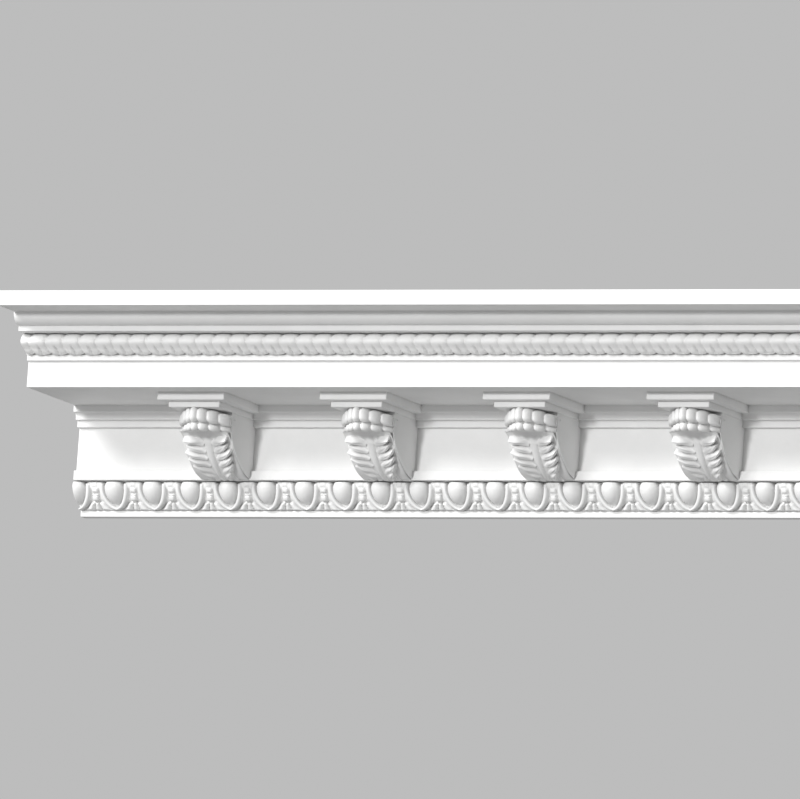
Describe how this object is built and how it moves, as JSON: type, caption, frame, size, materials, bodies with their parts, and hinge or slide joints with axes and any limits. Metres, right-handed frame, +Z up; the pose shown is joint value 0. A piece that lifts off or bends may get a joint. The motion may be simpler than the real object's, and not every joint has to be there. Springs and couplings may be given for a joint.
{
  "type": "cornice moulding length",
  "caption": "Straight length of classical modillion cornice with roped bead, acanthus brackets and egg-and-dart, made to fix where a wall meets a ceiling.",
  "frame": {"origin": "centre of the flat wall face at the back, at the middle of the length", "axes": "+X along the length, +Y into the wall, +Z up, so -Y is the front"},
  "size_m": [0.9588, 0.208, 0.175],
  "materials": {
    "cast_white": "factory-primed white, matt, with a faint cast texture"
  },
  "bodies": {
    "root": {"cornice": "cast_white"}
  },
  "joints": []
}
